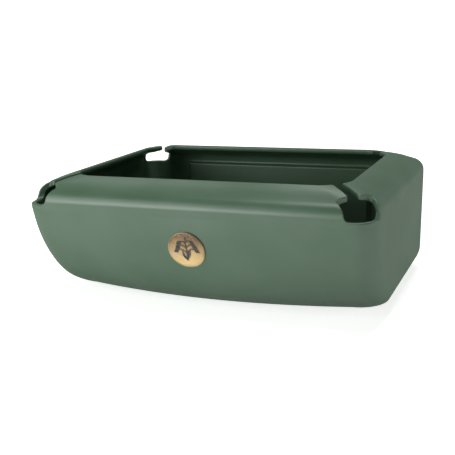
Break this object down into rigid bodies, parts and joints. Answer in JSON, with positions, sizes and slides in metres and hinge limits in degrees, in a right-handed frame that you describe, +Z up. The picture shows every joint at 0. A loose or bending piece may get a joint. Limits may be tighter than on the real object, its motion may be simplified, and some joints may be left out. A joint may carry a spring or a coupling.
{
  "type": "feed manger",
  "caption": "Moulded plastic trough manger with a broad sloping rim, a curved front wall, keyholes in its corners and a round domed badge on its front.",
  "frame": {"origin": "bottom centre of the trough, on the surface that it stands on", "axes": "+X along the length, to the right seen from the front; -Y towards the front wall with the badge; +Z up"},
  "size_m": [0.62, 0.4686, 0.2311],
  "materials": {
    "green_plastic": "satin moulded polyethylene, muted green",
    "foam_pad": "black adhesive foam",
    "gold_foil": "printed gold foil",
    "clear_resin": "clear domed resin"
  },
  "bodies": {
    "root": {"manger_body": "green_plastic", "badge_pad": "foam_pad", "badge_plate": "gold_foil", "badge_dome": "clear_resin"}
  },
  "joints": []
}
